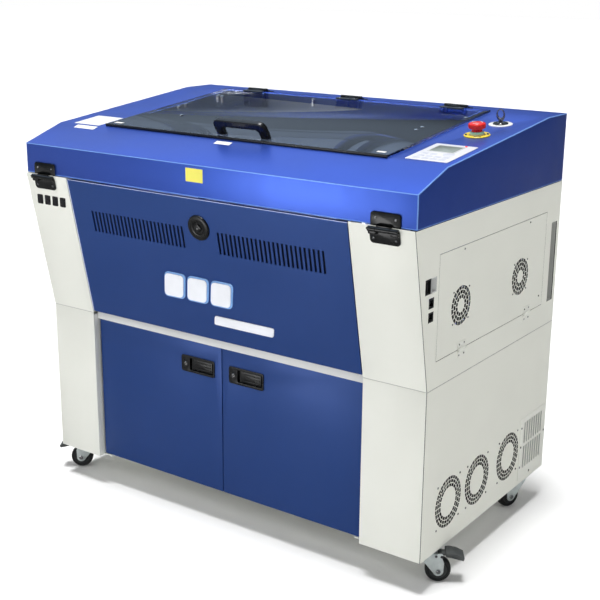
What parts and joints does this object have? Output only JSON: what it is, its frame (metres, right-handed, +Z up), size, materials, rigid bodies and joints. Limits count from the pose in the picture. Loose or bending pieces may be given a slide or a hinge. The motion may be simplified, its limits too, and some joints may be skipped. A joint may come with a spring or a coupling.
{
  "type": "laser cutter",
  "caption": "Floor-standing cabinet laser cutter on casters: sloped hood with tinted lift-up window over a work chamber, drop-down front panel and two-door storage base.",
  "frame": {"origin": "centre of the footprint at floor level: halfway between the extreme points in X and in Y, on the plane the casters stand on", "axes": "+Z up, +X to the operator's right, +Y from the operator's side towards the rear panel"},
  "size_m": [1.2398, 0.771, 1.045],
  "materials": {
    "white_paint": "satin powder coat, warm off-white",
    "blue_metallic": "fine-textured metallic powder coat, mid blue",
    "blue_dark": "satin powder coat, deep blue",
    "rail_paint": "satin powder coat, pale grey",
    "black_zinc": "black coated, slightly glossy",
    "black_plastic": "fine-grained moulded plastic",
    "grey_plastic": "textured moulded plastic",
    "zinc": "bright zinc plate",
    "steel": "nickel plated",
    "alloy": "satin anodised",
    "smoked_acrylic": "smoked transparent sheet, polished",
    "red_plastic": "glossy moulded plastic",
    "yellow_plastic": "glossy moulded plastic",
    "membrane": "matt printed membrane",
    "rubber": "smooth black rubber"
  },
  "bodies": {
    "cabinet": {"base_pan": "white_paint", "left_side_panels": "white_paint", "lower_right_side": "white_paint", "upper_right_side": "white_paint", "rear_panels": "white_paint", "lower_front_stiles": "white_paint", "middle_deck": "rail_paint", "upper_front_posts": "white_paint", "chamber_walls": "alloy", "motion_rails": "alloy", "laser_tube": "alloy", "exhaust_collar": "alloy", "sockets": "black_plastic", "caster_plates": "zinc", "cabinet_fan_frames": "black_plastic", "vent_plate": "rail_paint", "side_screws": "steel", "grip_trough": "white_paint", "fixed_hinge_leaves": "black_zinc"},
    "hood": {"hood_shell": "blue_metallic", "control_panel": "membrane", "switch_collars": "yellow_plastic", "hood_hinge_straps": "black_zinc", "lid_hinge_bases": "black_zinc"},
    "window": {"lid_window": "smoked_acrylic", "lid_fittings": "black_zinc", "lid_handle": "black_plastic"},
    "estop": {"estop_button": "red_plastic"},
    "key": {"keyswitch_key": "steel"},
    "front_panel": {"access_panel": "blue_dark", "panel_lock_ring": "black_zinc"},
    "panel_lock": {"panel_lock_core": "black_zinc"},
    "left_door": {"left_door": "blue_dark", "left_latch_pan": "black_plastic"},
    "left_paddle": {"left_latch_paddle": "black_plastic"},
    "left_lock": {"left_latch_cylinder": "steel"},
    "right_door": {"right_door": "blue_dark", "right_latch_pan": "black_plastic"},
    "right_paddle": {"right_latch_paddle": "black_plastic"},
    "right_lock": {"right_latch_cylinder": "steel"},
    "side_door": {"service_door": "white_paint", "service_fittings": "black_plastic"},
    "side_rotor_front": {"service_rotor_front": "black_plastic"},
    "side_rotor_rear": {"service_rotor_rear": "black_plastic"},
    "rotor_front": {"cabinet_rotor_front": "black_plastic"},
    "rotor_middle": {"cabinet_rotor_middle": "black_plastic"},
    "rotor_rear": {"cabinet_rotor_rear": "black_plastic"},
    "gantry": {"gantry_beam": "alloy"},
    "carriage": {"lens_carriage": "alloy"},
    "table": {"work_table": "alloy"},
    "front_left_fork": {"front_left_fork": "zinc"},
    "front_left_wheel": {"front_left_wheel": "rubber"},
    "front_left_pedal": {"front_left_pedal": "grey_plastic"},
    "front_right_fork": {"front_right_fork": "zinc"},
    "front_right_wheel": {"front_right_wheel": "rubber"},
    "front_right_pedal": {"front_right_pedal": "grey_plastic"},
    "rear_left_fork": {"rear_left_fork": "zinc"},
    "rear_left_wheel": {"rear_left_wheel": "rubber"},
    "rear_right_fork": {"rear_right_fork": "zinc"},
    "rear_right_wheel": {"rear_right_wheel": "rubber"}
  },
  "joints": [
    {"name": "hood_lift", "type": "hinge", "parent": "cabinet", "child": "hood", "pos_m": [0, -0.3798, 0.847], "axis": [1, 0, 0], "range_deg": [0, 60]},
    {"name": "window_lift", "type": "hinge", "parent": "hood", "child": "window", "pos_m": [0, 0.2555, 1.027], "axis": [-1, 0, 0], "range_deg": [0, 75]},
    {"name": "estop_press", "type": "slide", "parent": "hood", "child": "estop", "axis": [0, 0.1048, -0.9945], "range_m": [0, 0.005], "stiffness_N_per_m": 1500},
    {"name": "key_turn", "type": "hinge", "parent": "hood", "child": "key", "pos_m": [0.493, 0.1365, 1.00669], "axis": [0, -0.1048, 0.9945], "range_deg": [0, 90]},
    {"name": "front_panel_drop", "type": "hinge", "parent": "cabinet", "child": "front_panel", "pos_m": [-0.0095, -0.2925, 0.503], "axis": [1, 0, 0], "range_deg": [0, 78]},
    {"name": "panel_lock_turn", "type": "hinge", "parent": "front_panel", "child": "panel_lock", "pos_m": [-0.0095, -0.3589, 0.781], "axis": [0, -0.9798, -0.2], "range_deg": [0, 90]},
    {"name": "left_door_swing", "type": "hinge", "parent": "cabinet", "child": "left_door", "pos_m": [-0.407, -0.2725, 0.28], "axis": [0, 0, -1], "range_deg": [0, 100]},
    {"name": "left_paddle_pull", "type": "hinge", "parent": "left_door", "child": "left_paddle", "pos_m": [-0.1045, -0.2775, 0.409], "axis": [0, 0, -1], "range_deg": [0, 35], "stiffness_Nm_per_rad": 0.4},
    {"name": "left_lock_turn", "type": "hinge", "parent": "left_door", "child": "left_lock", "pos_m": [-0.1225, -0.2815, 0.409], "axis": [0, -1, 0], "range_deg": [0, 90]},
    {"name": "right_door_swing", "type": "hinge", "parent": "cabinet", "child": "right_door", "pos_m": [0.388, -0.2725, 0.28], "axis": [0, 0, 1], "range_deg": [0, 100]},
    {"name": "right_paddle_pull", "type": "hinge", "parent": "right_door", "child": "right_paddle", "pos_m": [0.0455, -0.2775, 0.409], "axis": [0, 0, -1], "range_deg": [0, 35], "stiffness_Nm_per_rad": 0.4},
    {"name": "right_lock_turn", "type": "hinge", "parent": "right_door", "child": "right_lock", "pos_m": [0.0275, -0.2815, 0.409], "axis": [0, -1, 0], "range_deg": [0, 90]},
    {"name": "side_door_drop", "type": "hinge", "parent": "cabinet", "child": "side_door", "pos_m": [0.5682, 0.0045, 0.55], "axis": [0, 1, 0], "range_deg": [0, 90]},
    {"name": "side_rotor_front_spin", "type": "hinge", "parent": "side_door", "child": "side_rotor_front", "pos_m": [0.551, -0.1625, 0.652], "axis": [1, 0, 0], "continuous": true},
    {"name": "side_rotor_rear_spin", "type": "hinge", "parent": "side_door", "child": "side_rotor_rear", "pos_m": [0.551, 0.1385, 0.652], "axis": [1, 0, 0], "continuous": true},
    {"name": "rotor_front_spin", "type": "hinge", "parent": "cabinet", "child": "rotor_front", "pos_m": [0.551, -0.1785, 0.19], "axis": [1, 0, 0], "continuous": true},
    {"name": "rotor_middle_spin", "type": "hinge", "parent": "cabinet", "child": "rotor_middle", "pos_m": [0.551, -0.0355, 0.19], "axis": [1, 0, 0], "continuous": true},
    {"name": "rotor_rear_spin", "type": "hinge", "parent": "cabinet", "child": "rotor_rear", "pos_m": [0.551, 0.1315, 0.19], "axis": [1, 0, 0], "continuous": true},
    {"name": "gantry_travel", "type": "slide", "parent": "cabinet", "child": "gantry", "axis": [0, 1, 0], "range_m": [-0.19, 0.23]},
    {"name": "carriage_travel", "type": "slide", "parent": "gantry", "child": "carriage", "axis": [1, 0, 0], "range_m": [-0.085, 0.58]},
    {"name": "table_lift", "type": "slide", "parent": "cabinet", "child": "table", "axis": [0, 0, 1], "range_m": [-0.14, 0.03]},
    {"name": "front_left_swivel", "type": "hinge", "parent": "cabinet", "child": "front_left_fork", "pos_m": [-0.533, -0.2185, 0.08], "axis": [0, 0, 1], "continuous": true},
    {"name": "front_left_roll", "type": "hinge", "parent": "front_left_fork", "child": "front_left_wheel", "pos_m": [-0.55816, -0.23484, 0.03], "axis": [0.5446, -0.8387, 0], "continuous": true},
    {"name": "front_left_brake", "type": "hinge", "parent": "front_left_fork", "child": "front_left_pedal", "pos_m": [-0.56151, -0.23702, 0.068], "axis": [0.5446, -0.8387, 0], "range_deg": [0, 20]},
    {"name": "front_right_swivel", "type": "hinge", "parent": "cabinet", "child": "front_right_fork", "pos_m": [0.533, -0.2185, 0.08], "axis": [0, 0, 1], "continuous": true},
    {"name": "front_right_roll", "type": "hinge", "parent": "front_right_fork", "child": "front_right_wheel", "pos_m": [0.55816, -0.20216, 0.03], "axis": [-0.5446, 0.8387, 0], "continuous": true},
    {"name": "front_right_brake", "type": "hinge", "parent": "front_right_fork", "child": "front_right_pedal", "pos_m": [0.56151, -0.19998, 0.068], "axis": [-0.5446, 0.8387, 0], "range_deg": [0, 20]},
    {"name": "rear_left_swivel", "type": "hinge", "parent": "cabinet", "child": "rear_left_fork", "pos_m": [-0.533, 0.2715, 0.08], "axis": [0, 0, 1], "continuous": true},
    {"name": "rear_left_roll", "type": "hinge", "parent": "rear_left_fork", "child": "rear_left_wheel", "pos_m": [-0.533, 0.2415, 0.03], "axis": [1, 0, 0], "continuous": true},
    {"name": "rear_right_swivel", "type": "hinge", "parent": "cabinet", "child": "rear_right_fork", "pos_m": [0.533, 0.2715, 0.08], "axis": [0, 0, 1], "continuous": true},
    {"name": "rear_right_roll", "type": "hinge", "parent": "rear_right_fork", "child": "rear_right_wheel", "pos_m": [0.52032, 0.24431, 0.03], "axis": [0.9063, -0.4226, 0], "continuous": true}
  ]
}
